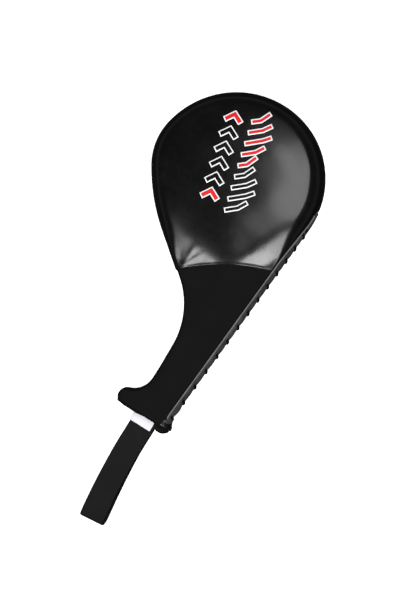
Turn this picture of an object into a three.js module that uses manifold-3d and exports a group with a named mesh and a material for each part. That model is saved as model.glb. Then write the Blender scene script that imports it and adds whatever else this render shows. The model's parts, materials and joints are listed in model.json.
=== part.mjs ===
// Kick paddle: a padded leather head on a laced, fabric-covered grip, with a wrist strap at its butt.
// +Y runs along the grip towards the head, +X to the laced side, +Z out of the front striking face.
// Every piece is drawn around the mid-plane z = 0, and the finished group is set down on its back.

import * as THREE from 'three';
import { mergeVertices } from 'three/addons/utils/BufferGeometryUtils.js';
import Module from 'manifold-3d';

const wasm = await Module();
wasm.setup();

// ---------- Driving dimensions, in millimetres and degrees ----------

const gap = 0.3; // clearance between touching pieces

// Plan outline: tangent arcs [radius, turn], with a negative radius for a hollow, and straights [0, length]
// It starts on the laced edge and goes anticlockwise, with the inside on the left.
const outlineStart = new THREE.Vector2(29, 20);
const outlineHeading = 85.7;
const laceEdgeTurns = [[100, 70], [106, 102], [73, 43.5], [222, 20], [0, 60], [-91, 50], [0, 44]];
const buttTurns = [[-23.5, 73.5], [11.3, 159]];
const smallLobeTurns = [[7.8, 126], [-18.6, 37]];
const arcStep = 9; // degrees of turn per chord

// Thickness
const headHalf = 20; // half the thickness of the head
const headRim = 17; // width of the head's rounded rim
const gripHalf = 15; // half the thickness of the grip
const gripRim = 6.5; // width of the grip's rounded sides
const padCentre = new THREE.Vector2(-56, 286);
const padRadius = 105; // disc of foam that makes the head thicker than the neck
const skin = 1.5; // leather and fabric
const foamSkin = skin + gap + 0.1; // depth of the foam under the outline
const coreSkin = 3; // depth of the middle layer, which clears the welt

// Grid of the padded solids: distances from either edge, and a middle column
const edgeSteps = [0, 1.2, 3.2, 6.5, 11, 17, 30];
const edgeStepsWidth = 64; // narrower stretches squeeze the steps in proportion
const stationPitch = 16; // spacing of the cross-sections along Y
const buttPitch = 4.5; // closer ones, where the butt flares
const buttHeight = 32;

// Hem between the leather head and the fabric neck: y = a parabola in x
const hemMiddle = new THREE.Vector2(-14.2, 194);
const hemSlope = 0.606;
const hemArch = -0.00282;
const hemSpan = [-70, 60]; // x, a little wider than the paddle there
const hemPitch = 13;

// Laced side strip
const stripWidth = 4.5; // inward from the outline, where the strip meets the faces
const stripTop = 310; // the strip tapers to nothing here
const stripTaper = 78;
const stripCut = 303; // and is cut off here
const pipingRadius = 0.8;
const pipingSlot = 2 * (pipingRadius + gap);
const pipingHeights = [5, 14, 22, 40, 80, 120, 160, 200, 225, 240, 255, 270, 285, 297];
const pipingSteps = 26;
const stripHeights = [4, 10, 14, 20, 30, 120, 220, 232, 250, 268, 282, 292]; // bends of its inner edge

// Lacing
const laceRadius = 1;
const laceCount = 14;
const laceFirst = 271.7; // y of the stitch nearest the head
const lacePitch = 16.5; // the stitches spread out towards the butt
const laceSpread = 0.24;
const laceSlant = 1.2; // front holes sit this far above a stitch's middle, back holes below
const holeZ = 3.6;
const holeRadius = 2.1;
const holeSides = 8;
const laceOutside = 1.9; // the cord stands this far out where it crosses the edge
const laceInside = 3.3; // and lies this deep behind it between stitches
const laceSteps = 9; // sections per stitch
const laceSides = 8;
const channelDepth = 6.2;
const channelHalf = 6;
const knotRadius = 2.1;
const knotRise = 7.2; // distance of each knot past the last stitch

// Welt round the head
const weltRadius = 1.2;
const weltInset = 1;
const weltMargin = 4; // it stops this far short of the strip and the hem
const weltSteps = 48;
const thinSides = 6; // sides of the welt and the pipings

// Butt
const buttY = 2.2; // the covers end here
const panelThickness = 4;
const panelFace = buttY - gap - panelThickness;
const blockTop = 42;
const tailTop = 20;
const pinY = 12;
const pinRadius = 1.5;
const pinInset = 1; // below the block's faces
const roundSides = 12;
const panelBevel = 1.2;
const panelCorner = 7;
const panelMargin = 0.4; // the panel is this much smaller than the butt

// Spine
const spineHalf = 3;
const spineWidth = 24;
const spineBottom = 23;
const spineFlare = 3; // it is this much wider on each side where the grip ends
const spineBends = [110, 150]; // y of that on the left and on the right
const spineHead = 240; // full width from here up
const spineTip = new THREE.Vector2(-38, 300);
const spineTipRadius = 26;
const spineSlant = 1.2; // widens a clearance, because the sides lean
const spineTurn = 20; // degrees per chord of the tip

// Wrist strap
const strapWidth = 30;
const webbing = 1.5;
const strapX = 3.2; // middle of the strap across the butt
const strapLength = 128.6;
const strapRootRadius = 1.7;
const strapOpen = 5.9; // half the height of the loop at its far end
const strapSewn = 18; // length over which the two layers are sewn together
const strapLean = 1.3; // degrees towards the laced side
const strapDroop = 6.45; // degrees down, so that the loop's end lies on the table
const tailMargin = 0.2; // the tail's end stands back from the panel's face
const pivotY = panelFace - gap - tailMargin - strapRootRadius;
const bartackSize = [26, 2.4, 0.8];
const bartackAlong = 15; // from the pivot
const labelSize = [28, 9.6, 0.6];
const labelAlong = 6.6;
const labelShift = -2.3; // off the strap's middle

// ---------- Outline ----------

function walk(point, heading, turns, inset, points) {
  for (const [radius, amount] of turns) {
    if (radius === 0) {
      const ahead = new THREE.Vector2(Math.cos(heading), Math.sin(heading));
      point = point.clone().addScaledVector(ahead, amount);
      points.push(point);
      continue;
    }
    const bend = Math.sign(radius) * THREE.MathUtils.degToRad(amount);
    const reach = radius - inset;
    const [across, along] = [Math.sin(heading), Math.cos(heading)];
    const centre = new THREE.Vector2(point.x - reach * across, point.y + reach * along);
    const steps = Math.ceil(amount / arcStep);
    for (let i = 1; i <= steps; i += 1) {
      const angle = heading + bend * i / steps;
      const spoke = new THREE.Vector2(Math.sin(angle), -Math.cos(angle));
      points.push(centre.clone().addScaledVector(spoke, reach));
    }
    heading += bend;
    point = points[points.length - 1];
  }
  return [point, heading];
}

// The straights along the laced edge and along the butt take the lengths that close the outline.
function closingStraights() {
  const start = THREE.MathUtils.degToRad(outlineHeading);
  const [head, afterHead] = walk(new THREE.Vector2(), start, laceEdgeTurns, 0, []);
  const [lobe, afterLobe] = walk(head, afterHead, buttTurns, 0, []);
  const [end] = walk(lobe, afterLobe, smallLobeTurns, 0, []);
  const up = new THREE.Vector2(Math.cos(start), Math.sin(start));
  const along = new THREE.Vector2(Math.cos(afterLobe), Math.sin(afterLobe));
  const area = up.cross(along);
  return [-end.cross(along) / area, -up.cross(end) / area];
}

const [laceEdge, buttEdge] = closingStraights();

function outline(inset) {
  const heading = THREE.MathUtils.degToRad(outlineHeading);
  const inward = new THREE.Vector2(-Math.sin(heading), Math.cos(heading));
  const start = outlineStart.clone().addScaledVector(inward, inset);
  const turns = [[0, laceEdge], ...laceEdgeTurns, ...buttTurns, [0, buttEdge], ...smallLobeTurns];
  const points = [start];
  walk(start, heading, turns, inset, points);
  points.pop();
  return points;
}

function crossings(points, y) {
  const found = [];
  points.forEach((a, i) => {
    const b = points[(i + 1) % points.length];
    if ((a.y - y) * (b.y - y) <= 0 && a.y !== b.y) {
      found.push(a.x + (b.x - a.x) * (y - a.y) / (b.y - a.y));
    }
  });
  return [Math.min(...found), Math.max(...found)];
}

// Distance in from the outline's sides. Edges below the covers' end don't count, so the butt stays full.
function depthInside(points, x, y) {
  let nearest = Infinity;
  points.forEach((a, i) => {
    const b = points[(i + 1) % points.length];
    if (Math.max(a.y, b.y) < buttY) {
      return;
    }
    const edge = b.clone().sub(a);
    const along = THREE.MathUtils.clamp(((x - a.x) * edge.x + (y - a.y) * edge.y) / edge.lengthSq(), 0, 1);
    nearest = Math.min(nearest, Math.hypot(a.x + edge.x * along - x, a.y + edge.y * along - y));
  });
  return nearest;
}

const outer = outline(0);
const rightEdge = (y) => crossings(outer, y)[1];

// ---------- Padded solids ----------

function roundOver(depth, width, height) {
  const out = 1 - THREE.MathUtils.clamp(depth / width, 0, 1);
  return height * Math.sqrt(1 - out * out);
}

// Half the thickness at a point, for the surface that lies `under` below the outer one.
function halfThickness(points, x, y, under) {
  const depth = depthInside(points, x, y);
  const disc = padRadius - under - Math.hypot(x - padCentre.x, y - padCentre.y);
  const neck = roundOver(depth, gripRim - under / 2, gripHalf - under);
  const head = roundOver(Math.min(depth, disc), headRim - under / 2, headHalf - under);
  return Math.max(neck, head);
}

function spread(from, to, pitch) {
  const count = Math.ceil((to - from) / pitch);
  return Array.from({ length: count }, (_, i) => from + (to - from) * i / count);
}

function stationHeights(from, top) {
  const nearTop = edgeSteps.slice(1).reverse().map((step) => top - step);
  const low = spread(from, buttHeight, buttPitch);
  return [...low, ...spread(buttHeight, nearTop[0], stationPitch), ...nearTop];
}

// A closed solid on cross-sections of constant y, from `from` up to a point at the top of the head.
function paddedSolid(under, from) {
  const points = outline(under);
  const peak = points.reduce((best, p) => (p.y > best.y ? p : best));
  const heights = stationHeights(from, peak.y);
  const columns = 2 * edgeSteps.length + 1;
  const vertices = [];
  const index = [];
  for (const side of [1, -1]) {
    for (const y of heights) {
      const [left, right] = crossings(points, y);
      const squeeze = Math.min(1, (right - left) / edgeStepsWidth);
      const offsets = edgeSteps.map((step) => step * squeeze);
      const rights = offsets.map((o) => right - o).reverse();
      const xs = [...offsets.map((o) => left + o), (left + right) / 2, ...rights];
      xs.forEach((x, i) => {
        const edge = i === 0 || i === columns - 1;
        vertices.push(x, y, edge ? 0 : side * halfThickness(points, x, y, under));
      });
    }
    vertices.push(peak.x, peak.y, 0);
  }
  const sheet = heights.length * columns + 1;
  for (const [side, base] of [[1, 0], [-1, sheet]]) {
    const face = (a, b, c) => index.push(...(side > 0 ? [a, b, c] : [a, c, b]));
    for (let j = 0; j < heights.length; j += 1) {
      for (let i = 0; i < columns - 1; i += 1) {
        const a = base + j * columns + i;
        if (j === heights.length - 1) {
          face(a, a + 1, base + sheet - 1);
        } else {
          face(a, a + 1, a + columns);
          face(a + 1, a + columns + 1, a + columns);
        }
      }
    }
  }
  for (let i = 0; i < columns - 1; i += 1) {
    index.push(i, sheet + i, i + 1, i + 1, sheet + i, sheet + i + 1);
  }
  const geometry = new THREE.BufferGeometry();
  geometry.setAttribute('position', new THREE.Float32BufferAttribute(vertices, 3));
  geometry.setIndex(index);
  return solid(geometry);
}

// ---------- Solids and booleans ----------

function solid(geometry) {
  geometry.deleteAttribute('normal');
  geometry.deleteAttribute('uv');
  const merged = mergeVertices(geometry, 1e-4);
  const corners = merged.index.array;
  const kept = [];
  for (let i = 0; i < corners.length; i += 3) {
    const [a, b, c] = corners.slice(i, i + 3);
    if (a !== b && b !== c && c !== a) {
      kept.push(a, b, c);
    }
  }
  const vertProperties = new Float32Array(merged.attributes.position.array);
  return new wasm.Manifold(new wasm.Mesh({ numProp: 3, vertProperties, triVerts: new Uint32Array(kept) }));
}

function toGeometry(body) {
  const mesh = body.getMesh();
  const geometry = new THREE.BufferGeometry();
  geometry.setAttribute('position', new THREE.BufferAttribute(mesh.vertProperties, 3));
  geometry.setIndex(new THREE.BufferAttribute(mesh.triVerts, 1));
  geometry.computeVertexNormals();
  return geometry;
}

function prism(points, low, high) {
  const options = { depth: high - low, bevelEnabled: false };
  return solid(new THREE.ExtrudeGeometry(new THREE.Shape(points), options).translate(0, 0, low));
}

function block(low, high) {
  const geometry = new THREE.BoxGeometry(high[0] - low[0], high[1] - low[1], high[2] - low[2]);
  return solid(geometry.translate((low[0] + high[0]) / 2, (low[1] + high[1]) / 2, (low[2] + high[2]) / 2));
}

function tube(curve, radius, steps, sides) {
  const section = new THREE.Shape();
  for (let i = 0; i < sides; i += 1) {
    const angle = 2 * Math.PI * i / sides;
    section[i ? 'lineTo' : 'moveTo'](radius * Math.cos(angle), radius * Math.sin(angle));
  }
  section.closePath();
  return new THREE.ExtrudeGeometry(section, { steps, extrudePath: curve, bevelEnabled: false });
}

// ---------- Regions that share the shells out ----------

const far = 400;

const hemY = (x) => {
  const dx = x - hemMiddle.x;
  return hemMiddle.y + hemSlope * dx + hemArch * dx * dx;
};

function besideHem(side, clearance) {
  const points = [];
  for (let x = hemSpan[0]; x <= hemSpan[1]; x += hemPitch) {
    points.push(new THREE.Vector2(x, hemY(x) + side * clearance));
  }
  points.push(new THREE.Vector2(far, points[points.length - 1].y), new THREE.Vector2(far, side * far));
  points.push(new THREE.Vector2(-far, side * far), new THREE.Vector2(-far, points[0].y));
  return prism(points, -far, far);
}

const stripInset = (y) => stripWidth * THREE.MathUtils.clamp((stripTop - y) / stripTaper, 0, 1);

// Everything to the right of a line that runs `insetAt(y)` inside the laced edge.
function besideLacing(insetAt, top) {
  const points = [...stripHeights, top].map((y) => new THREE.Vector2(rightEdge(y) - insetAt(y), y));
  points.unshift(new THREE.Vector2(points[0].x, -far));
  points.push(new THREE.Vector2(far, top), new THREE.Vector2(far, -far));
  return prism(points, -far, far);
}

const aboveHem = besideHem(1, gap / 2);
const belowHem = besideHem(-1, gap / 2);
const frontHalf = block([-far, -far, gap / 2], [far, far, far]);
const backHalf = block([-far, -far, -far], [far, far, -gap / 2]);

// ---------- Covers ----------

const shell = paddedSolid(0, buttY).subtract(paddedSolid(skin, buttY - 1));
const besidePiping = (top) => besideLacing((y) => stripInset(y) + pipingSlot, top);

function headCover(half) {
  const slot = block([-far, -far, -weltRadius - gap], [far, far, weltRadius + gap]);
  const lacing = besidePiping(stripCut + pipingSlot);
  return shell.intersect(aboveHem).intersect(half).subtract(slot).subtract(lacing);
}

const neckCover = () => shell.intersect(belowHem).subtract(besidePiping(stripCut));

const laceY = (i) => laceFirst - lacePitch * i - laceSpread * i * i;
const lastLace = laceY(laceCount - 1);
const knotHeights = [laceFirst + knotRise, lastLace - knotRise];

function laceHole(y, z) {
  const length = 2 * channelDepth;
  const drill = new THREE.CylinderGeometry(holeRadius, holeRadius, length, holeSides).rotateZ(Math.PI / 2);
  return solid(drill.translate(rightEdge(y), y, z));
}

function sideStrip(half, side) {
  let strip = shell.intersect(besideLacing(stripInset, stripCut)).intersect(half);
  for (let i = 0; i < laceCount; i += 1) {
    strip = strip.subtract(laceHole(laceY(i) + side * laceSlant, side * holeZ));
  }
  if (side > 0) {
    knotHeights.forEach((y) => {
      strip = strip.subtract(laceHole(y, holeZ));
    });
  }
  return strip;
}

function rimWelt() {
  const line = outline(weltInset);
  const first = line.findIndex((p) => p.y > stripCut + weltMargin);
  const end = line.findIndex((p, i) => i > first && p.y < hemY(p.x) + weltMargin);
  const points = line.slice(first, end).map((p) => new THREE.Vector3(p.x, p.y, 0));
  return tube(new THREE.CatmullRomCurve3(points, false, 'centripetal'), weltRadius, weltSteps, thinSides);
}

function edgePiping(side) {
  const points = pipingHeights.map((y) => {
    const x = rightEdge(y) - stripInset(y) - pipingSlot / 2;
    return new THREE.Vector3(x, y, side * (halfThickness(outer, x, y, 0) - pipingRadius / 2));
  });
  return tube(new THREE.CatmullRomCurve3(points), pipingRadius, pipingSteps, thinSides);
}

// ---------- Lacing ----------

// One cord: over the edge from a front hole to a back hole, then inside to the next front hole.
function laceRoute() {
  const at = (y, out, z) => new THREE.Vector3(rightEdge(y) + out, y, z);
  const route = [at(knotHeights[0], 0.1, holeZ), at(knotHeights[0] - 0.6, -laceInside, holeZ)];
  for (let i = 0; i < laceCount; i += 1) {
    const y = laceY(i);
    route.push(at(y + 2.4, -laceInside, 3.2), at(y + laceSlant, -0.7, holeZ), at(y + 0.7, 1.5, 1.9));
    route.push(at(y, laceOutside, 0));
    route.push(at(y - 0.7, 1.5, -1.9), at(y - laceSlant, -0.7, -holeZ), at(y - 2.4, -laceInside, -3.2));
  }
  route.push(at(knotHeights[1] + 0.6, -laceInside - 0.4, holeZ), at(knotHeights[1], 0.1, holeZ));
  return new THREE.CatmullRomCurve3(route, false, 'centripetal');
}

function laceKnot(y) {
  const knot = new THREE.SphereGeometry(knotRadius, 10, 8);
  return knot.translate(rightEdge(y) + gap + knotRadius, y, holeZ);
}

// ---------- Inside ----------

const laceChannel = () => besideLacing(() => channelDepth, stripCut + 3)
  .intersect(block([-far, -far, -channelHalf], [far, far, channelHalf]));

function foam(low, high, under = foamSkin) {
  const layer = block([-far, buttY + 1, low], [far, far, high]);
  return paddedSolid(under, buttY - 1).intersect(layer).subtract(laceChannel());
}

// A tongue of even width in the grip, which leans over and widens to a round end in the head.
function spineOutline(clearance) {
  const half = spineWidth / 2 + spineSlant * clearance;
  const tip = spineTipRadius + spineSlant * clearance;
  const shape = [
    [strapX - half, spineBottom - clearance], [strapX + half, spineBottom - clearance],
    [strapX + half + spineFlare, spineBends[1]], [spineTip.x + tip, spineHead],
  ];
  for (let angle = 0; angle <= 180; angle += spineTurn) {
    const turn = THREE.MathUtils.degToRad(angle);
    shape.push([spineTip.x + tip * Math.cos(turn), spineTip.y + tip * Math.sin(turn)]);
  }
  shape.push([spineTip.x - tip, spineHead], [strapX - half - spineFlare, spineBends[0]]);
  return shape.map(([x, y]) => new THREE.Vector2(x, y));
}

const spineBoard = () => prism(spineOutline(0), -spineHalf, spineHalf);

function headFoamCore() {
  const inner = spineHalf - gap / 2;
  return foam(-inner, inner, coreSkin).intersect(aboveHem).subtract(prism(spineOutline(gap), -far, far));
}

const headPad = (low, high) => foam(low, high).intersect(aboveHem);

const gripPad = (low, high) => foam(low, high)
  .intersect(belowHem)
  .intersect(block([-far, blockTop + gap, -far], [far, far, far]));

function buttBlock() {
  const lump = foam(-far, far).intersect(block([-far, buttY, -far], [far, blockTop, far]));
  const half = strapWidth / 2 + gap;
  const room = webbing + gap;
  const tailSlot = block([strapX - half, -far, -room], [strapX + half, tailTop + gap, room]);
  return lump.subtract(tailSlot)
    .subtract(prism(spineOutline(gap), -spineHalf - gap, spineHalf + gap))
    .subtract(solid(anchorPin(pinRadius + gap, 2 * gripHalf)));
}

function anchorPin(radius, length) {
  const pin = new THREE.CylinderGeometry(radius, radius, length, roundSides);
  return pin.rotateX(Math.PI / 2).translate(strapX, pinY, 0);
}

function strapTail() {
  const half = strapWidth / 2;
  const tail = block([strapX - half, panelFace + tailMargin, -webbing], [strapX + half, tailTop, webbing]);
  return tail.subtract(solid(anchorPin(pinRadius + gap, 2 * gripHalf)));
}

// ---------- Butt panel and wrist strap ----------

function buttPanel() {
  const [left, right] = crossings(outer, buttY + 1);
  const corner = panelCorner;
  const [x0, x1] = [left + panelBevel + panelMargin, right - panelBevel];
  const z1 = gripHalf - panelBevel - panelMargin;
  const shape = new THREE.Shape();
  shape.absarc(x1 - corner, z1 - corner, corner, 0, Math.PI / 2);
  shape.absarc(x0 + corner, z1 - corner, corner, Math.PI / 2, Math.PI);
  shape.absarc(x0 + corner, corner - z1, corner, Math.PI, 1.5 * Math.PI);
  shape.absarc(x1 - corner, corner - z1, corner, 1.5 * Math.PI, 2 * Math.PI);
  const bevel = { bevelThickness: panelBevel, bevelSize: panelBevel, bevelSegments: 2 };
  const depth = panelThickness - 2 * panelBevel;
  const plate = new THREE.ExtrudeGeometry(shape, { depth, curveSegments: 5, ...bevel });
  const half = strapWidth / 2 + gap;
  const slot = block([strapX - half, -far, -webbing - gap], [strapX + half, far, webbing + gap]);
  return solid(plate.rotateX(Math.PI / 2).translate(0, buttY - gap - panelBevel, 0)).subtract(slot);
}

// Half the outside height of the strap, at a distance along it from its pivot.
function strapHalf(along) {
  const rise = THREE.MathUtils.smoothstep(along, strapSewn, strapLength - 15);
  return strapRootRadius + (strapOpen - strapRootRadius) * rise;
}

// Side view of the strap: x is the distance along it, y its height.
function strapSection() {
  const end = strapLength - strapOpen;
  const steps = 12;
  const shape = new THREE.Shape();
  const inside = new THREE.Path();
  const first = strapSewn + 8;
  const stations = Array.from({ length: steps }, (_, i) => first + (end - first) * i / steps);
  shape.absarc(0, 0, strapRootRadius, Math.PI / 2, 1.5 * Math.PI);
  inside.moveTo(first - 4, 0);
  for (const along of stations) {
    shape.lineTo(along, -strapHalf(along));
    inside.lineTo(along, webbing - strapHalf(along));
  }
  shape.absarc(end, 0, strapOpen, -Math.PI / 2, Math.PI / 2);
  inside.absarc(end, 0, strapOpen - webbing, -Math.PI / 2, Math.PI / 2);
  for (const along of stations.reverse()) {
    shape.lineTo(along, strapHalf(along));
    inside.lineTo(along, strapHalf(along) - webbing);
  }
  shape.holes.push(inside);
  return shape;
}

// Sets a geometry drawn in the strap's side view, with its width centred, onto the strap's own axes.
function onStrap(geometry) {
  const basis = new THREE.Matrix4().makeBasis(
    new THREE.Vector3(0, -1, 0), new THREE.Vector3(0, 0, 1), new THREE.Vector3(-1, 0, 0),
  );
  return geometry.applyMatrix4(basis);
}

function wristStrap() {
  const options = { depth: strapWidth, bevelEnabled: false, curveSegments: 8 };
  return onStrap(new THREE.ExtrudeGeometry(strapSection(), options).translate(0, 0, -strapWidth / 2));
}

// A flat piece sewn onto the strap's front (side 1) or back (side -1).
function sewnPiece(size, shift, along, side) {
  const height = strapRootRadius + gap + size[2] / 2;
  return new THREE.BoxGeometry(...size).translate(shift, -along, side * height);
}

// ---------- Assembly ----------

const paint = {
  leather: { color: 0x1b1b1e, roughness: 0.34, metalness: 0 },
  fabric: { color: 0x17171a, roughness: 0.9, metalness: 0 },
  strip: { color: 0x3c3d42, roughness: 0.5, metalness: 0 },
  piping: { color: 0x6a6b70, roughness: 0.45, metalness: 0 },
  cord: { color: 0x0c0c0e, roughness: 0.85, metalness: 0 },
  gloss: { color: 0x161618, roughness: 0.2, metalness: 0 },
  webbing: { color: 0x1e1e21, roughness: 0.95, metalness: 0 },
  label: { color: 0xf2f2f0, roughness: 0.8, metalness: 0 },
  foam: { color: 0xd8d4c6, roughness: 0.95, metalness: 0 },
  firmFoam: { color: 0x8d9299, roughness: 0.9, metalness: 0 },
  board: { color: 0x2c3138, roughness: 0.5, metalness: 0 },
  steel: { color: 0xb8bcc2, roughness: 0.3, metalness: 1 },
};

function piece(name, shape, finish) {
  const geometry = shape.isBufferGeometry ? shape : toGeometry(shape);
  const mesh = new THREE.Mesh(geometry, new THREE.MeshStandardMaterial(paint[finish]));
  mesh.name = name;
  return mesh;
}

const padLow = spineHalf + gap / 2;

const body = new THREE.Group();
body.add(
  piece('spine_board', spineBoard(), 'board'),
  piece('head_foam_core', headFoamCore(), 'firmFoam'),
  piece('head_foam_front', headPad(padLow, far), 'foam'),
  piece('head_foam_back', headPad(-far, -padLow), 'foam'),
  piece('grip_foam_front', gripPad(padLow, far), 'foam'),
  piece('grip_foam_back', gripPad(-far, -padLow), 'foam'),
  piece('butt_block', buttBlock(), 'firmFoam'),
  piece('strap_tail', strapTail(), 'webbing'),
  piece('strap_anchor_pin', anchorPin(pinRadius, 2 * (gripHalf - foamSkin - pinInset)), 'steel'),
  piece('head_cover_front', headCover(frontHalf), 'leather'),
  piece('head_cover_back', headCover(backHalf), 'leather'),
  piece('head_rim_welt', rimWelt(), 'leather'),
  piece('neck_cover', neckCover(), 'fabric'),
  piece('side_strip_front', sideStrip(frontHalf, 1), 'strip'),
  piece('side_strip_back', sideStrip(backHalf, -1), 'strip'),
  piece('edge_piping_front', edgePiping(1), 'piping'),
  piece('edge_piping_back', edgePiping(-1), 'piping'),
  piece('side_lacing', tube(laceRoute(), laceRadius, laceSteps * laceCount, laceSides), 'cord'),
  piece('lace_knot_top', laceKnot(knotHeights[0]), 'cord'),
  piece('lace_knot_bottom', laceKnot(knotHeights[1]), 'cord'),
  piece('butt_panel', buttPanel(), 'gloss'),
);

const strap = new THREE.Group();
strap.position.set(strapX, pivotY, 0);
strap.rotation.set(THREE.MathUtils.degToRad(strapDroop), 0, THREE.MathUtils.degToRad(strapLean), 'ZYX');
strap.add(
  piece('wrist_strap', wristStrap(), 'webbing'),
  piece('strap_bartack', sewnPiece(bartackSize, 0, bartackAlong, -1), 'cord'),
  piece('size_label', sewnPiece(labelSize, labelShift, labelAlong, 1), 'label'),
);

// The origin is the middle of the whole paddle's footprint, on the surface that it lies on.
const paddle = new THREE.Group();
paddle.add(body, strap);
paddle.updateMatrixWorld(true);
const extent = new THREE.Box3().setFromObject(paddle, true);
const middle = extent.getCenter(new THREE.Vector3());
paddle.position.set(-middle.x, -middle.y, -extent.min.z);

export default paddle;
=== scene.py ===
import json
import math

import bmesh
import bpy
import numpy as np
from mathutils import Matrix, Vector
from mathutils.bvhtree import BVHTree


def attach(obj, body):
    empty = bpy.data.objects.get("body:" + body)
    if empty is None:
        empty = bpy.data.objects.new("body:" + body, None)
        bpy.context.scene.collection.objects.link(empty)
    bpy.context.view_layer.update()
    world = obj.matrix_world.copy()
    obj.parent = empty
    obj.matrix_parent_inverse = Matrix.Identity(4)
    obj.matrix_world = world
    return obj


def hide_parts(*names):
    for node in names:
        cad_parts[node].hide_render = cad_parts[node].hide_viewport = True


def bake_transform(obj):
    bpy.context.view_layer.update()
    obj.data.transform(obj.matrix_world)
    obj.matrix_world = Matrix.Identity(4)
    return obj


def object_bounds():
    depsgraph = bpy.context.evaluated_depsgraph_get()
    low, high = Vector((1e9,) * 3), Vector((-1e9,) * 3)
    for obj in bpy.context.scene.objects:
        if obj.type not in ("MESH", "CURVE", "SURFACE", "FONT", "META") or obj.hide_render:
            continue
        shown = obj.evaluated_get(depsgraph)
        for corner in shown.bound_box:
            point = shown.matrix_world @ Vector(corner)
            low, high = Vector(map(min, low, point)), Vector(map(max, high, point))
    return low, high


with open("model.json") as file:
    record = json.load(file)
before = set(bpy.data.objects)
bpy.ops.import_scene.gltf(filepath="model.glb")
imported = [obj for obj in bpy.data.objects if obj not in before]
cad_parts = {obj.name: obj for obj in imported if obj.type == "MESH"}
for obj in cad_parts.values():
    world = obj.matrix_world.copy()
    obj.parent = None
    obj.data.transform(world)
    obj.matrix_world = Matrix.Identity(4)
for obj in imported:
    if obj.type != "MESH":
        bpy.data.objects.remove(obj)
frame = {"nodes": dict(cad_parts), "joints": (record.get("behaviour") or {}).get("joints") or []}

CAD_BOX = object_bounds()

# ---------- Driving sizes ----------
# Shapes are drawn in millimetres in the grip's own axes: x across the grip towards the laced side,
# y towards the head, z out of the front face. place() sets them down in the frame, in metres.

MM = 0.001
FACE = {1: "front", -1: "back"}
STRAP_PIVOT = np.array([3.2, -4.3, 0.0])
ORIGIN = np.array(frame["joints"][0]["pos_m"]) - MM * STRAP_PIVOT

# Plan outline: tangent arcs (radius, turn), with a negative radius for a hollow, and
# straights (0, length)
OUTLINE_START = np.array([29.0, 20.0])
OUTLINE_HEADING = 85.7
MAIN_TURNS = [(100, 70), (106, 102), (73, 43.5), (222, 20), (0, 60), (-91, 50), (0, 44),
              (-23.5, 73.5), (11.3, 159)]
SMALL_LOBE_TURNS = [(7.8, 126), (-18.6, 37)]
ARC_STEP = 2.5
STRAIGHT_STEP = 4.0

PAD = np.array([-56.0, 286.0])
FLAT_RADIUS = 87.0
HEAD_RIM = 17.0
COVER = 1.3  # thickness of the head's leather and the neck's fabric
GRIP_HALF = 15.0
GRIP_RIM = 6.5
BUTT_Y = 3.6
BUTT_HALF = 14.5

WELT_RADIUS = 1.2
WELT_INSET = 1.0
GAP = 0.3
STRIP_WIDTH = 4.5
STRIP_TOP = 310.0
STRIP_TAPER = 78.0
STRIP_CUT = 303.0
STRIP_COVER = 1.2
PIPING_RADIUS = 0.8
PIPING_SLOT = 2 * (PIPING_RADIUS + GAP)
SEAM_GAP = 0.12
SEAM_SHARE = 0.55  # the fabric bulges over the piping, so less of the strip shows than is cut
LOBE_COVER = 7.5
LOBE_TOP = 15.0

LACE_COUNT = 14
LACE_FIRST = 271.7
LACE_PITCH = 16.5
LACE_SPREAD = 0.24
LACE_SLANT = 1.7
LACE_INSIDE = 3.3
LACE_OUTSIDE = 0.85
HOLE_Z = 7.0
HOLE_RADIUS = 1.9
KNOT_RISE = 7.2

STRAP_WIDTH = 30.0
WEBBING = 1.5
STRAP_LENGTH = 128.6
STRAP_ROOT = 1.7
STRAP_OPEN = 5.9
STRAP_SEWN = 18.0
STRAP_LEAN = 1.3
STRAP_DROOP = 6.45


def place(points):
    return ORIGIN + MM * np.asarray(points, float)


def ease(t):
    """Rises smoothly from 0 to 1."""
    t = np.clip(t, 0, 1)
    return t * t * (3 - 2 * t)


def around(count):
    return np.linspace(0, 2 * math.pi, count, endpoint=False)


def unit(v):
    return v / np.linalg.norm(v, axis=-1, keepdims=True)


# ---------- Outline ----------


def walk(point, heading, turns, points):
    for radius, amount in turns:
        if radius == 0:
            ahead = np.array([math.cos(heading), math.sin(heading)])
            steps = max(1, math.ceil(abs(amount) / STRAIGHT_STEP))
            points.extend(point + ahead * amount * i / steps for i in range(1, steps + 1))
            point = points[-1]
            continue
        bend = math.copysign(math.radians(amount), radius)
        centre = point + radius * np.array([-math.sin(heading), math.cos(heading)])
        steps = math.ceil(amount / ARC_STEP)
        for i in range(1, steps + 1):
            angle = heading + bend * i / steps
            points.append(centre + radius * np.array([math.sin(angle), -math.cos(angle)]))
        heading += bend
        point = points[-1]
    return point, heading


def cross(a, b):
    return a[0] * b[1] - a[1] * b[0]


def make_outline():
    start = math.radians(OUTLINE_HEADING)
    lobe, after_lobe = walk(np.zeros(2), start, MAIN_TURNS, [])
    end, _ = walk(lobe, after_lobe, SMALL_LOBE_TURNS, [])
    up = np.array([math.cos(start), math.sin(start)])
    along = np.array([math.cos(after_lobe), math.sin(after_lobe)])
    lace_edge = -cross(end, along) / cross(up, along)
    butt_edge = -cross(up, end) / cross(up, along)
    turns = [(0, lace_edge), *MAIN_TURNS, (0, butt_edge), *SMALL_LOBE_TURNS]
    points = [OUTLINE_START]
    walk(OUTLINE_START, start, turns, points)
    return np.array(points[:-1])


OUTLINE = make_outline()
EDGES = list(zip(OUTLINE, np.roll(OUTLINE, -1, axis=0)))


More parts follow.
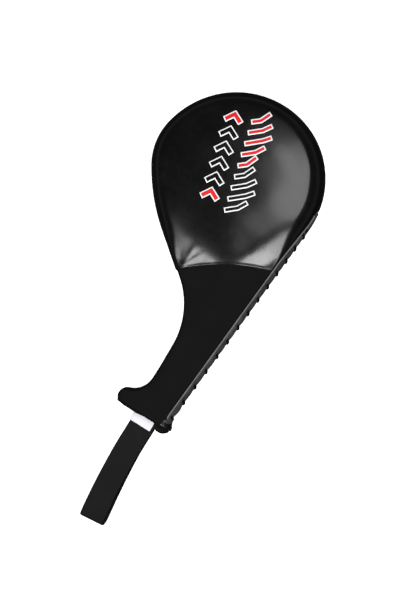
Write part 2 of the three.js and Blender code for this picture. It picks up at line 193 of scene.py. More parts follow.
def crossings(y):
    """Leftmost and rightmost x of the outline at each y."""
    y = np.atleast_1d(y)
    left, right = np.full(y.shape, 1e9), np.full(y.shape, -1e9)
    for a, b in EDGES:
        if a[1] == b[1]:
            continue
        hit = (a[1] - y) * (b[1] - y) <= 0
        x = a[0] + (b[0] - a[0]) * (y - a[1]) / (b[1] - a[1])
        left = np.where(hit, np.minimum(left, x), left)
        right = np.where(hit, np.maximum(right, x), right)
    return left, right


def right_edge(y):
    return crossings(y)[1]


def depth_inside(x, y):
    """Distance in from the outline's sides, negative outside. The butt's end doesn't count."""
    x, y = np.broadcast_arrays(np.asarray(x, float), np.asarray(y, float))
    nearest = np.full(x.shape, 1e9)
    odd = np.zeros(x.shape, bool)
    for a, b in EDGES:
        edge = b - a
        if a[1] != b[1]:
            crosses = (a[1] > y) != (b[1] > y)
            odd ^= crosses & (x < a[0] + edge[0] * (y - a[1]) / edge[1])
        if max(a[1], b[1]) < BUTT_Y:
            continue
        t = np.clip(((x - a[0]) * edge[0] + (y - a[1]) * edge[1]) / (edge @ edge), 0, 1)
        nearest = np.minimum(nearest, np.hypot(a[0] + edge[0] * t - x, a[1] + edge[1] * t - y))
    return np.where(odd | (y < BUTT_Y), nearest, -nearest)


# ---------- Padded form ----------

HEM_MIDDLE = np.array([-14.2, 194.0])
HEM_SLOPE = 0.606
HEM_ARCH = -0.00282

FRONT_TOP = 26.7  # height of the front face's middle
EDGE_SLOPE = 0.172  # steepness of the domed face where it ends
NECK_FLAT = 74.0  # radius of the domed face on the side towards the neck
# (distance from the pad's middle, steepness) on the side towards the neck
NECK_SLOPES = [(NECK_FLAT, 0.12), (80, 0.16), (88, 0.255), (103, 0.265), (121, 0)]
BACK_SHARE = 0.42  # how much of the front's rise the back has
RIM_NARROWS = (82.0, 30.0)  # where the rim starts to get as tight as the grip's, and over how far
NECK_REACH = 0.16  # the domed face reaches this share further straight towards the neck
TOWARDS_NECK = np.array([0.46, -0.89])
RADII = np.linspace(0, 260, 521)


def hem_y(x):
    dx = x - HEM_MIDDLE[0]
    return HEM_MIDDLE[1] + HEM_SLOPE * dx + HEM_ARCH * dx * dx


def heights(knots):
    """Height of a face at RADII: it gets steeper like a square, then follows the knots."""
    flat, edge_slope = knots[0]
    slope = np.where(RADII < flat, edge_slope * (RADII / flat) ** 2, np.interp(RADII, *zip(*knots)))
    fall = np.cumsum((slope[1:] + slope[:-1]) / 2 * np.diff(RADII))
    return FRONT_TOP - np.concatenate([[0], fall])


HEAD_HEIGHTS = heights([(FLAT_RADIUS, EDGE_SLOPE), (115, EDGE_SLOPE), (150, 0)])
NECK_HEIGHTS = heights(NECK_SLOPES)


def half_thickness(x, y, front, tuck=0.0):
    """Half the thickness: a domed disc, a slope from it down to the neck, and a rounded rim.

    The rim stands `tuck` inside the outline."""
    depth = np.maximum(depth_inside(x, y) - tuck, 0)
    dx, dy = x - PAD[0], y - PAD[1]
    radius = np.hypot(dx, dy)
    towards = (dx * TOWARDS_NECK[0] + dy * TOWARDS_NECK[1]) / np.maximum(radius, 1)
    neck = ease((towards - 0.42) / 0.34)
    reach = 1 + NECK_REACH * np.exp((np.minimum(towards, 1) ** 2 - 1) / 0.11)
    head_level = np.interp(radius, RADII, HEAD_HEIGHTS)
    neck_level = np.interp(radius / reach, RADII, NECK_HEIGHTS)
    level = head_level + (neck_level - head_level) * neck
    if not front:
        level = GRIP_HALF + BACK_SHARE * (level - GRIP_HALF)
    narrow = ease((radius - RIM_NARROWS[0]) / RIM_NARROWS[1]) * neck
    out = 1 - np.clip(depth / (HEAD_RIM + (GRIP_RIM - HEAD_RIM) * narrow), 0, 1)
    return level * np.sqrt(1 - out * out)


def strip_inset(y):
    return STRIP_WIDTH * np.clip((STRIP_TOP - y) / STRIP_TAPER, 0, 1)


def seam_inset(y):
    """How far inside the outline the piping lies."""
    return SEAM_SHARE * strip_inset(y) + PIPING_SLOT / 2


def lobe_cover(y):
    """How much further in the strip reaches at the butt, over the small lobe."""
    return LOBE_COVER * ease((LOBE_TOP - y) / 9)


def cover_inset(x, y):
    """How far inside the outline the covers end: under the piping, else at the welt."""
    return np.where(x > 0, (seam_inset(y) + SEAM_GAP) * np.clip((STRIP_TOP - y) / 6, 0, 1), 0.0)


def seam_dip(distance):
    """The covers' edges turn down beside a seam, in millimetres."""
    return 1.1 * ease(1 - distance / 1.5)


def furthest(inside, outside, covered):
    """Where a cover ends between places inside it and places outside."""
    for _ in range(26):
        middle = (inside + outside) / 2
        within = covered(middle)
        inside, outside = np.where(within, middle, inside), np.where(within, outside, middle)
    return inside


# ---------- Mesh helpers ----------


def grid_faces(rows, columns, closed=False):
    faces = []
    for low in range(0, (rows - 1) * columns, columns):
        high = low + columns
        for i in range(columns if closed else columns - 1):
            k = (i + 1) % columns
            faces.append((low + i, low + k, high + k, high + i))
    return faces


def capped_rings(rings, ends=None):
    """Points and faces of a closed skin over rings of points, with a point at each end."""
    n, m = len(rings), len(rings[0])
    points = np.vstack([*rings, *(ends or (np.mean(rings[0], axis=0), np.mean(rings[-1], axis=0)))])
    faces = grid_faces(n, m, closed=True)
    for i in range(m):
        k = (i + 1) % m
        faces += [(n * m, k, i), (n * m + 1, (n - 1) * m + i, (n - 1) * m + k)]
    return points, faces


def joined(pieces):
    """Points and faces of several pieces in one."""
    points, faces = [], []
    for more, extra in pieces:
        faces += [tuple(len(points) + i for i in f) for f in extra]
        points += list(more)
    return points, faces


def put(name, data):
    obj = bpy.data.objects.new(name, data)
    bpy.context.scene.collection.objects.link(obj)
    return obj


def make_mesh(name, points, faces, material, slot, body="paddle"):
    mesh = bpy.data.meshes.new(name)
    mesh.from_pydata(place(points).reshape(-1, 3).tolist(), [], [tuple(f) for f in faces])
    mesh.validate()
    mesh.materials.append(material)
    mesh.shade_smooth()
    obj = put(name, mesh)
    if body:
        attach(obj, body)
    return obj


def turn_outwards(obj):
    bm = bmesh.new()
    bm.from_mesh(obj.data)
    bmesh.ops.recalc_face_normals(bm, faces=bm.faces)
    bm.to_mesh(obj.data)
    bm.free()


def apply_modifiers(obj):
    graph = bpy.context.evaluated_depsgraph_get()
    graph.update()
    mesh = bpy.data.meshes.new_from_object(obj.evaluated_get(graph))
    obj.modifiers.clear()
    obj.data = mesh


def thicken(obj, thickness):
    """Makes a sheet into a closed shell, with its thickness behind the face that it shows."""
    solid = obj.modifiers.new("solid", "SOLIDIFY")
    solid.thickness = thickness * MM
    solid.offset = -1
    solid.use_quality_normals = True
    apply_modifiers(obj)


def spline(points, per_span):
    """Catmull-Rom curve through the points."""
    p = np.asarray(points, float)
    p = np.vstack([2 * p[0] - p[1], p, 2 * p[-1] - p[-2]])
    out = []
    for i in range(1, len(p) - 2):
        a, b, c, d = p[i - 1], p[i], p[i + 1], p[i + 2]
        for k in range(per_span):
            t = k / per_span
            out.append(0.5 * (2 * b + (c - a) * t + (2 * a - 5 * b + 4 * c - d) * t * t
                              + (3 * b - 3 * c + d - a) * t ** 3))
    out.append(p[-2])
    return np.array(out)


def even_steps(points, step):
    p = np.asarray(points, float)
    run = np.concatenate([[0], np.cumsum(np.linalg.norm(np.diff(p, axis=0), axis=1))])
    count = max(2, int(round(run[-1] / step)) + 1)
    s = np.linspace(0, run[-1], count)
    return np.stack([np.interp(s, run, p[:, k]) for k in range(p.shape[1])], axis=1), s


def tube_points(path, radii, sides):
    """Rings round a path, with a row of radii for each ring."""
    tangent = unit(np.gradient(path, axis=0))
    normal = np.cross(tangent[0], [0.3, 0.2, 1.0])
    angles = around(sides)[:, None]
    rings = []
    for p, t, r in zip(path, tangent, radii):
        normal = unit(normal - t * (normal @ t))
        side = np.cross(t, normal)
        rings.append(p + r[:, None] * (np.cos(angles) * normal + np.sin(angles) * side))
    return rings


def make_tube(name, path, radii, sides, material, slot, body="paddle"):
    skin = capped_rings(tube_points(path, radii, sides), (path[0], path[-1]))
    obj = make_mesh(name, *skin, material, slot, body)
    turn_outwards(obj)
    return obj


def cut_away(obj, bm):
    """Cuts a bmesh out of an object."""
    mesh = bpy.data.meshes.new("cutter")
    bm.to_mesh(mesh)
    bm.free()
    cutter = put("cutter", mesh)
    cut = obj.modifiers.new("cut", "BOOLEAN")
    cut.object = cutter
    cut.operation = "DIFFERENCE"
    cut.solver = "EXACT"
    apply_modifiers(obj)
    bpy.data.objects.remove(cutter)


# ---------- Materials ----------


class Nodes:
    """A material's node tree, with short names for what this script uses."""

    def __init__(self, name, **sockets):
        self.material = bpy.data.materials.new(name)
        self.material.use_nodes = True
        self.tree = self.material.node_tree
        self.bsdf = self.tree.nodes["Principled BSDF"]
        self.height = None
        for key, value in sockets.items():
            self.bsdf.inputs[key.replace("_", " ")].default_value = value

    def add(self, kind, **settings):
        node = self.tree.nodes.new("ShaderNode" + kind)
        for key, value in settings.items():
            if hasattr(node, key):
                setattr(node, key, value)
            else:
                node.inputs[key.replace("_", " ")].default_value = value
        return node

    def link(self, source, target):
        self.tree.links.new(source, target)

    def place(self, rotation=(0, 0, 0), scale=(1, 1, 1)):
        coordinates = self.add("TexCoord")
        mapping = self.add("Mapping", Rotation=rotation, Scale=scale)
        self.link(coordinates.outputs["Object"], mapping.inputs["Vector"])
        return mapping.outputs["Vector"]

    def noise(self, vector, scale, detail=3.0, roughness=0.5):
        node = self.add("TexNoise", Scale=scale, Detail=detail, Roughness=roughness)
        self.link(vector, node.inputs["Vector"])
        return node.outputs["Fac"]

    def cells(self, vector, scale, feature="F1"):
        node = self.add("TexVoronoi", feature=feature, Scale=scale)
        self.link(vector, node.inputs["Vector"])
        return node.outputs["Distance"]

    def bands(self, vector, axis, pitch, distortion=0.0):
        scale = 2 * math.pi / (20 * pitch * MM)
        node = self.add("TexWave", bands_direction=axis, Distortion=distortion, Scale=scale)
        self.link(vector, node.inputs["Vector"])
        return node.outputs["Fac"]

    def math(self, operation, a, b):
        node = self.add("Math", operation=operation)
        for socket, value in zip(node.inputs, (a, b)):
            if isinstance(value, (int, float)):
                socket.default_value = value
            else:
                self.link(value, socket)
        return node.outputs[0]

    def range(self, value, low, high, to_low, to_high):
        node = self.add("MapRange", From_Min=low, From_Max=high, To_Min=to_low, To_Max=to_high)
        self.link(value, node.inputs["Value"])
        return node.outputs["Result"]

    def blend(self, share, dark, light):
        """Colour between dark and light."""
        node = self.add("Mix", data_type="RGBA")
        self.link(share, node.inputs["Factor"])
        node.inputs[6].default_value = (*dark, 1)
        node.inputs[7].default_value = (*light, 1)
        return node.outputs[2]

    def colour(self, socket):
        self.link(socket, self.bsdf.inputs["Base Color"])

    def roughness(self, socket):
        self.link(socket, self.bsdf.inputs["Roughness"])

    def bump(self, height, distance):
        node = self.add("Bump", Strength=1, Distance=distance * MM)
        self.link(height, node.inputs["Height"])
        if self.height is not None:
            self.link(self.height, node.inputs["Normal"])
        self.height = node.outputs["Normal"]
        self.link(self.height, self.bsdf.inputs["Normal"])


def leather(name, dark, light, rough, specular, crumpled=False):
    """Smooth coated leather: fine pebble grain, faint pull lines, patchy sheen."""
    m = Nodes(name, Specular_IOR_Level=specular)
    at = m.place()
    patches = m.noise(at, 22, 4)
    wear = m.noise(at, 180, 5, 0.7)
    m.colour(m.blend(m.range(m.math("MULTIPLY", patches, wear), 0.15, 0.42, 0, 1), dark, light))
    m.roughness(m.range(m.math("ADD", patches, m.math("MULTIPLY", wear, 0.5)), 0.5, 1.0, *rough))
    m.bump(m.noise(at, 420 if crumpled else 45, 2), 0.6 if crumpled else 0.1)
    grit = m.math("MULTIPLY", m.noise(at, 2600, 2), 0.5)
    m.bump(m.math("ADD", m.cells(at, 950, "SMOOTH_F1"), grit), 0.015)
    return m.material


def woven(name, dark, light, pitch, depth, turn=0.0, rough=(0.86, 0.97)):
    """Plain weave of two crossed sets of threads."""
    m = Nodes(name, Specular_IOR_Level=0.04)
    at = m.place(rotation=(0, 0, math.radians(turn)))
    warp = m.bands(at, "X", pitch, 0.4)
    weft = m.bands(at, "Y", pitch, 0.4)
    over = m.math("MAXIMUM", warp, weft)
    fibres = m.noise(at, 3000, 2)
    patches = m.noise(at, 35, 4)
    m.colour(m.blend(m.math("MULTIPLY", m.range(over, 0.3, 1, 0, 1), patches), dark, light))
    m.roughness(m.range(fibres, 0.3, 0.7, *rough))
    m.bump(patches, 0.2)
    m.bump(m.math("ADD", over, m.math("MULTIPLY", fibres, 0.4)), depth)
    return m.material


def foam(name, dark, light):
    """Closed-cell foam, with small pits."""
    m = Nodes(name, Specular_IOR_Level=0.2)
    at = m.place()
    pits = m.cells(at, 700)
    m.colour(m.blend(m.range(m.math("ADD", pits, m.noise(at, 60, 3)), 0.4, 1.2, 0, 1), dark, light))
    m.roughness(m.range(pits, 0, 0.7, 0.98, 0.85))
    m.bump(pits, 0.3)
    return m.material


def plastic(name, dark, light, rough, metallic=0.0, brushed=0.0, specular=0.5):
    m = Nodes(name, Metallic=metallic, Specular_IOR_Level=specular)
    at = m.place(scale=(1, 1 - 0.97 * brushed, 1 - 0.97 * brushed))
    fine = m.noise(at, 1400, 3)
    patches = m.noise(at, 40, 4)
    m.colour(m.blend(patches, dark, light))
    m.roughness(m.range(m.math("ADD", fine, patches), 0.7, 1.3, *rough))
    m.bump(fine, 0.03)
    return m.material


HEAD_LEATHER = leather("head_leather", (0.0026, 0.0026, 0.0028), (0.0052, 0.0050, 0.0050),
                       (0.17, 0.23), specular=0.27)
GLOSS_LEATHER = leather("gloss_leather", (0.0050, 0.0050, 0.0053), (0.0100, 0.0100, 0.0103),
                        (0.20, 0.30), specular=0.3)
# Dark grey leather, lightened to stand in for the floor's reflection on the laced side: partly
# painted reflection
STRIP_LEATHER_WITH_PAINTED_REFLECTION = leather("strip_leather_painted_reflection", (0.034, 0.034, 0.035), (0.098, 0.098, 0.100),
                        (0.40, 0.52), specular=0.3, crumpled=True)
# Grey leather, lightened to stand in for the light caught along the piping's rounded edge: partly
# painted highlight
PIPING_LEATHER_WITH_PAINTED_HIGHLIGHT = leather("piping_leather_painted_highlight", (0.11, 0.11, 0.112), (0.175, 0.175, 0.177),
                         (0.38, 0.48), specular=0.4)
NECK_FABRIC = woven("neck_fabric", (0.0050, 0.0050, 0.0051), (0.0098, 0.0097, 0.0096), 0.7, 0.10)
WEB_FABRIC = woven("strap_webbing", (0.0086, 0.0086, 0.0087), (0.0165, 0.0165, 0.0168), 1.1, 0.22)
# painted shade: a darker webbing for the strap's edges, standing in for the shade at the loop's
# sides
WEB_PAINTED_SHADE = woven("strap_edge_painted_shade", (0.0030, 0.0030, 0.0031), (0.0070, 0.0070, 0.0072), 0.55, 0.12)
CORD_FABRIC = woven("lace_cord", (0.0035, 0.0035, 0.0037), (0.0085, 0.0085, 0.0090), 0.5, 0.08)
LABEL_FABRIC = woven("label_satin", (0.70, 0.69, 0.725), (0.80, 0.79, 0.82),
                     0.35, 0.04, rough=(0.6, 0.75))
THREAD = woven("thread", (0.012, 0.012, 0.013), (0.03, 0.03, 0.032), 0.3, 0.05, turn=30)
PRINT_RED = plastic("print_red", (0.58, 0.010, 0.014), (0.68, 0.018, 0.024),
                    (0.40, 0.52), specular=0.18)
PRINT_WHITE = plastic("print_white", (0.84, 0.84, 0.85), (0.93, 0.93, 0.93),
                      (0.40, 0.52), specular=0.3)

CAD_FINISH = {
    "spine_board": plastic("board_plastic", (0.02, 0.024, 0.03), (0.035, 0.04, 0.048), (0.4, 0.55)),
    "head_foam_core": foam("firm_foam", (0.22, 0.24, 0.27), (0.34, 0.36, 0.40)),
    "strap_anchor_pin": plastic("pin_steel", (0.45, 0.46, 0.48), (0.62, 0.63, 0.65), (0.22, 0.36),
                                metallic=1.0, brushed=1.0),
    # black foam, so that the sliver of the block showing beside the butt cap reads as painted shade
    "butt_block": foam("block_foam_dark_for_shade", (0.006, 0.006, 0.007), (0.013, 0.013, 0.014)),
}
PAD_FOAM = foam("pad_foam", (0.60, 0.57, 0.46), (0.78, 0.75, 0.66))
for node, finish in CAD_FINISH.items():
    data = frame["nodes"][node].data
    data.materials.clear()
    data.materials.append(finish)

# ---------- Head ----------

RAYS = 320
RIM_RINGS = 22
FACE_RINGS = 26
HEM_CLEAR = 0.15
HEM_TILT = 0.86  # turns a distance along y into one square to the hem
HEM_LIFT = 0.3  # the leather laps over the neck fabric


def boundary_radius(angles):
    """Distance from the pad's middle to the edge of the head cover along each ray."""
    def covered(reach):
        x, y = PAD[0] + reach * np.cos(angles), PAD[1] + reach * np.sin(angles)
        return (depth_inside(x, y) > cover_inset(x, y) + 0.03) & (y > hem_y(x) + HEM_CLEAR)
    return furthest(np.zeros(angles.shape), np.full(angles.shape, 180.0), covered)


def head_grid():
    """Plan positions of the head cover's vertices: rings from the edge in to the middle."""
    angles = around(RAYS)
    reach = boundary_radius(angles)
    turns = np.linspace(0, math.pi / 2, RIM_RINGS)
    rings = [reach - inset for inset in HEAD_RIM * (1 - np.cos(turns))]
    rings += [(reach - HEAD_RIM) * (1 - k / FACE_RINGS) for k in range(1, FACE_RINGS)]
    radius = np.array(rings)
    return PAD[0] + radius * np.cos(angles), PAD[1] + radius * np.sin(angles)


def ripples(x, y):
    """Small unevenness of stretched leather, in millimetres."""
    waves = [(0.081, 0.043, 0.3), (-0.037, 0.092, 1.7), (0.126, -0.071, 4.1), (0.05, 0.15, 2.6)]
    return sum(np.sin(a * x + b * y + c) for a, b, c in waves) * 0.06


CREASE_ROOT = np.array([-52.0, 169.0])
# (direction, length, height)
CREASES = [(104, 30, 0.225), (84, 38, 0.45), (62, 34, 0.45), (40, 26, 0.35)]


def creases(x, y):
    """Soft folds that fan out from the hem's corner opposite the lacing, in millimetres."""
    total = np.zeros(np.shape(x))
    for direction, length, height in CREASES:
        a = math.radians(direction)
        dx, dy = x - CREASE_ROOT[0], y - CREASE_ROOT[1]
        along = dx * math.cos(a) + dy * math.sin(a)
        aside = dy * math.cos(a) - dx * math.sin(a)
        width = 1.8 + 0.10 * np.clip(along, 0, None)
        ends = ease(along / 6) * ease((length - along) / 18)
        total += height * np.exp(-(aside / width) ** 2) * ends
    return total


def make_head(side):
    front = side > 0
    x, y = head_grid()
    z = half_thickness(x, y, front)
    depth = depth_inside(x, y)
    z = z - seam_dip(np.where((x > 0) & (y < STRIP_CUT), depth - cover_inset(x, y), 99))
    above_hem = (y - hem_y(x)) * HEM_TILT
    z = z + HEM_LIFT * ease(1 - above_hem / 4) * ease(depth / 5)
    z = z - 0.6 * ease(1 - (above_hem - HEM_CLEAR) / 0.9) * ease(depth / 3)
    z = np.maximum(z, WELT_RADIUS + GAP)
    z = z + ((ripples(x, y) + creases(x, y)) * ease(depth / 10) if front else 0)
    points = np.stack([x, y, side * z], axis=-1).reshape(-1, 3)
    points = np.vstack([points, [*PAD, side * float(half_thickness(*PAD, front))]])
    faces = grid_faces(len(x), RAYS, closed=True)
    last = x.size - RAYS
    faces += [(last + i, last + (i + 1) % RAYS, x.size) for i in range(RAYS)]
    if side < 0:
        faces = [tuple(reversed(f)) for f in faces]
    obj = make_mesh("head_leather_" + FACE[side], points, faces, HEAD_LEATHER, "head_leather")
    thicken(obj, COVER)
    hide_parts("head_cover_front" if front else "head_cover_back")
    return obj


head_front = make_head(1)
make_head(-1)


def make_welt():
    inward = np.roll(OUTLINE, -1, axis=0) - np.roll(OUTLINE, 1, axis=0)
    inward = unit(np.column_stack([-inward[:, 1], inward[:, 0]]))
    line = OUTLINE + WELT_INSET * inward
    first = next(i for i, p in enumerate(line) if p[1] > STRIP_CUT + 4)
    end = next(i for i, p in enumerate(line) if i > first and p[1] < hem_y(p[0]) + 1)
    path, run = even_steps(np.column_stack([line[first:end], np.zeros(end - first)]), 1.2)
    radii = WELT_RADIUS + 0.06 * np.sin(run * 2 * math.pi / 3.2)[:, None]
    obj = make_tube("rim_welt", path, radii, 12, HEAD_LEATHER, "head_leather")
    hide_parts("head_rim_welt")


make_welt()

# ---------- Neck ----------

NECK_BEND = 110.0  # rows are level below this, and turn to follow the hem above it
HEM_ROWS = 46
FOLD_COLUMNS = 9
FACE_COLUMNS = 34
TUCK = 1.05
NECK_TUCK = 1.3


def neck_tuck(y):
    """How far inside the outline the fabric's free side stands, pulled in under the head."""
    return NECK_TUCK * ease((y - 24) / 40)


def neck_rows():
    """Each row of the neck fabric: its height on the grip, and its share of the way to the hem."""
    left = OUTLINE[(OUTLINE[:, 0] < 0) & (OUTLINE[:, 1] > BUTT_Y) & (OUTLINE[:, 1] < NECK_BEND)]
    left = left[np.argsort(left[:, 1])]
    top = [crossings(NECK_BEND)[0][0], NECK_BEND]
    path, _ = even_steps(np.vstack([[left[0][0], BUTT_Y], left, top]), 1.6)
    heights = np.maximum.accumulate(path[:, 1])
    shares = np.concatenate([np.zeros(len(heights)), np.linspace(0, TUCK, HEM_ROWS)[1:]])
    return np.concatenate([heights, np.full(HEM_ROWS - 1, NECK_BEND)]), shares


def neck_height(x, base, share):
    return base + share * (hem_y(x) - HEM_CLEAR - NECK_BEND)


def neck_end(base, share, side):
    """Where each row meets the outline on the left, or the piping on the right."""
    def covered(x):
        y = neck_height(x, base, share)
        edge = seam_inset(y) + SEAM_GAP if side > 0 else neck_tuck(y)
        return (depth_inside(x, y) > edge) & (side * x > 0)
    return furthest(np.zeros(base.shape), np.full(base.shape, side * 90.0), covered)


def make_neck():
    base, share = neck_rows()
    x_left, x_right = neck_end(base, share, -1), neck_end(base, share, 1)
    turns = np.linspace(0, math.pi / 2, FOLD_COLUMNS)
    fold = GRIP_RIM * (1 - np.cos(turns))
    start = x_left + GRIP_RIM
    face = [start + (x_right - start) * k / FACE_COLUMNS for k in range(1, FACE_COLUMNS + 1)]
    x = np.array([x_left + inset for inset in fold] + face).T
    y = neck_height(x, base[:, None], share[:, None])
    depth = depth_inside(x, y)
    below_hem = (hem_y(x) - y) * HEM_TILT
    wave = 0.10 * np.sin(0.11 * x + 0.05 * y) + 0.08 * np.sin(0.045 * y - 0.14 * x + 1.0)
    change = wave * ease(depth / 8) - 0.7 * ease(1 - below_hem / 7)
    beside_strip = seam_dip(depth - seam_inset(y) - SEAM_GAP)
    strip_edge = seam_inset(y) + lobe_cover(y) + 1
    under_strip = 1.3 * ease((strip_edge - depth) / 1.2) * ease((LOBE_TOP - y) / 2)
    change = change - np.where(x > 0, np.maximum(beside_strip, under_strip), 0)
    change = change - 0.7 * ease(1 - (y - BUTT_Y) / 1.6)
    tuck = np.where(x > 0, 0.0, neck_tuck(y))
    halves = []
    for side in (1, -1):
        z = np.maximum(half_thickness(x, y, side > 0, tuck) + change * ease(depth / 2), 0)
        z[:, 0] = 0
        halves.append(np.stack([x, y, side * z], axis=-1))
    whole = np.concatenate([halves[0][:, ::-1], halves[1][:, 1:]], axis=1)
    faces = [tuple(reversed(f)) for f in grid_faces(*whole.shape[:2])]
    obj = make_mesh("neck_fabric_sleeve", whole, faces, NECK_FABRIC, "neck_fabric")
    thicken(obj, COVER)
    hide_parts("neck_cover")
    return obj


neck = make_neck()

# ---------- Foam filling ----------

FILL_INSET = 2.6  # the foam stands this far inside the outline
FILL_UNDER = 2.2  # and this far under the padded form
FILL_FLOOR = 3.3  # it lies on the board
FILL_SHARE = 0.93  # the grip's foam ends this share of the way to the hem


def slab(top, low):
    """Points and faces of a closed slab between two grids of points."""
    at = np.arange(top[..., 0].size).reshape(top.shape[:2])
    sheet = grid_faces(*at.shape)
    faces = sheet + [tuple(at.size + k for k in reversed(f)) for f in sheet]
    rim = np.concatenate([at[0], at[1:, -1], at[-1, -2::-1], at[-2:0:-1, 0]]).tolist()
    faces += [(b, a, at.size + a, at.size + b) for a, b in zip(rim, rim[1:] + rim[:1])]
    return [*top.reshape(-1, 3), *low.reshape(-1, 3)], faces


def fill_height(x, y, side):
    return np.maximum(half_thickness(x, y, side > 0, FILL_INSET) - FILL_UNDER, FILL_FLOOR + 0.2)


def make_grip_filling(side):
    base, share = neck_rows()
    base, share = base[4::2], FILL_SHARE * share[4::2]
    left = neck_end(base, share, -1) + FILL_INSET
    right = neck_end(base, share, 1) - 1.0
    x = left[:, None] + (right - left)[:, None] * np.linspace(0, 1, 26)
    y = neck_height(x, base[:, None], share[:, None])
    top = np.stack([x, y, side * fill_height(x, y, side)], axis=-1)
    low = np.stack([x, y, np.full(x.shape, side * FILL_FLOOR)], axis=-1)
    obj = make_mesh("grip_filling_" + FACE[side], *slab(top, low), PAD_FOAM, "foam")
    turn_outwards(obj)
    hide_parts("grip_foam_front" if side > 0 else "grip_foam_back")


def make_head_filling(side):
    x, y = head_grid()
    shrink = 1 - (FILL_INSET + 3.5) / np.hypot(x[0] - PAD[0], y[0] - PAD[1])
    x, y = PAD[0] + (x - PAD[0]) * shrink, PAD[1] + (y - PAD[1]) * shrink
    z = fill_height(x, y, side)
    z[0] = FILL_FLOOR
    ends = ((*PAD, side * FILL_FLOOR), (*PAD, side * float(fill_height(*PAD, side))))
    skin = capped_rings(np.stack([x, y, side * z], axis=-1), ends)
    obj = make_mesh("head_filling_" + FACE[side], *skin, PAD_FOAM, "foam")
    turn_outwards(obj)
    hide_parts("head_foam_front" if side > 0 else "head_foam_back")


for side in (1, -1):
    make_grip_filling(side)
    make_head_filling(side)

# ---------- Laced side ----------


def lace_y(i):
    return LACE_FIRST - LACE_PITCH * i - LACE_SPREAD * i * i


KNOTS = (LACE_FIRST + KNOT_RISE, lace_y(LACE_COUNT - 1) - KNOT_RISE)


def bulge(y):
    """The strips stand out between the stitches, in millimetres."""
    heights = np.array([lace_y(i) for i in range(LACE_COUNT)])[::-1]
    phase = np.interp(y, heights, np.arange(LACE_COUNT), left=-0.5, right=LACE_COUNT - 0.5)
    return (0.55 + 0.9 * ease((48 - y) / 16)) * np.sin(math.pi * phase) ** 2


def make_strip(side):
    rows = np.concatenate([np.linspace(BUTT_Y, 24, 40), np.linspace(24, STRIP_CUT, 280)[1:]])
    swell = bulge(rows)
    reach = np.maximum(seam_inset(rows) + lobe_cover(rows) - SEAM_GAP, 0.4)
    points = []
    for t in np.linspace(0, 1, 19):
        depth = reach * (1 - math.sin(t * math.pi / 2)) + 0.012
        x = right_edge(rows) - depth
        dip = seam_dip(reach - depth) * ease((rows - LOBE_TOP + 4) / 4)
        z = half_thickness(x, rows, side > 0) - dip
        z = np.where(t > 0.98, 0.15, np.maximum(z, 0.15))
        z = z - 0.7 * ease(1 - (rows - BUTT_Y) / 1.6) * (z > 2)
        out = swell * ease((t - 0.25) / 0.6)
        points.append(np.stack([x + out, rows, side * z], axis=-1))
    grid = np.array(points).transpose(1, 0, 2)
    name = "lace_strip_" + FACE[side]
    # the strip's lighter grey is partly painted reflection
    obj = make_mesh(name, grid, grid_faces(*grid.shape[:2]), STRIP_LEATHER_WITH_PAINTED_REFLECTION, "side_strip")
    if side < 0:
        obj.data.flip_normals()
    thicken(obj, STRIP_COVER)
    punch_holes(obj, side)
    obj.data.materials.append(GLOSS_LEATHER)
    for face in obj.data.polygons:
        if (face.center.y - ORIGIN[1]) / MM < LOBE_TOP - 5:
            face.material_index = 1
    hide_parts("side_strip_front" if side > 0 else "side_strip_back")


SIDE_DEPTHS = np.linspace(0, 12, 49)


def side_point(y, z, out=0.0):
    """A point on the laced side's surface at this height, moved outwards."""
    edge = float(right_edge(y)[0])
    rise = np.maximum.accumulate(half_thickness(edge - SIDE_DEPTHS, y, z > 0))
    return (edge - float(np.interp(abs(z), rise, SIDE_DEPTHS)) + out, y, z)


def punch_holes(obj, side):
    heights = [lace_y(i) + side * LACE_SLANT for i in range(LACE_COUNT)]
    heights += list(KNOTS) if side > 0 else []
    bm = bmesh.new()
    for y in heights:
        spot = Vector(place(side_point(y, side * HOLE_Z)))
        turn = Matrix.Translation(spot) @ Matrix.Rotation(math.radians(90 - side * 32), 4, "Y")
        bmesh.ops.create_cone(bm, cap_ends=True, segments=20, radius1=HOLE_RADIUS * MM,
                              radius2=HOLE_RADIUS * MM, depth=6 * MM, matrix=turn)
    cut_away(obj, bm)


make_strip(1)
make_strip(-1)


def make_piping(side):
    rows = np.arange(LOBE_TOP - 0.5, 299, 1.0)
    x = right_edge(rows) - seam_inset(rows)
    z = side * (half_thickness(x, rows, side > 0) - PIPING_RADIUS / 2)
    path, run = even_steps(np.column_stack([x, rows, z]), 1.0)
    radii = 0.85 * PIPING_RADIUS + 0.05 * np.cos(run * 2 * math.pi / 3.0)[:, None]
    # the piping's light grey is partly painted highlight
    obj = make_tube("piping_" + FACE[side], path, radii, 12, PIPING_LEATHER_WITH_PAINTED_HIGHLIGHT, "piping")
    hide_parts("edge_piping_front" if side > 0 else "edge_piping_back")


make_piping(1)
make_piping(-1)


def lace_route():
    """Over the edge from each front hole to its back hole, then inside to the next front hole."""
    half = [(3.4, 5.0, -LACE_INSIDE), (LACE_SLANT, HOLE_Z, -0.6),
            (0.6 * LACE_SLANT, 0.62 * HOLE_Z, LACE_OUTSIDE)]
    turn = [*half, (0, 0.01, LACE_OUTSIDE), *((-rise, -z, out) for rise, z, out in reversed(half))]
    route = [side_point(KNOTS[0], HOLE_Z, 0.4), side_point(KNOTS[0] - 0.6, HOLE_Z, -LACE_INSIDE)]
    for i in range(LACE_COUNT):
        route += [side_point(lace_y(i) + rise, z, out) for rise, z, out in turn]
    route.append(side_point(KNOTS[1] + 0.6, HOLE_Z, -LACE_INSIDE - 0.4))
    route.append(side_point(KNOTS[1], HOLE_Z, 0.4))
    return route


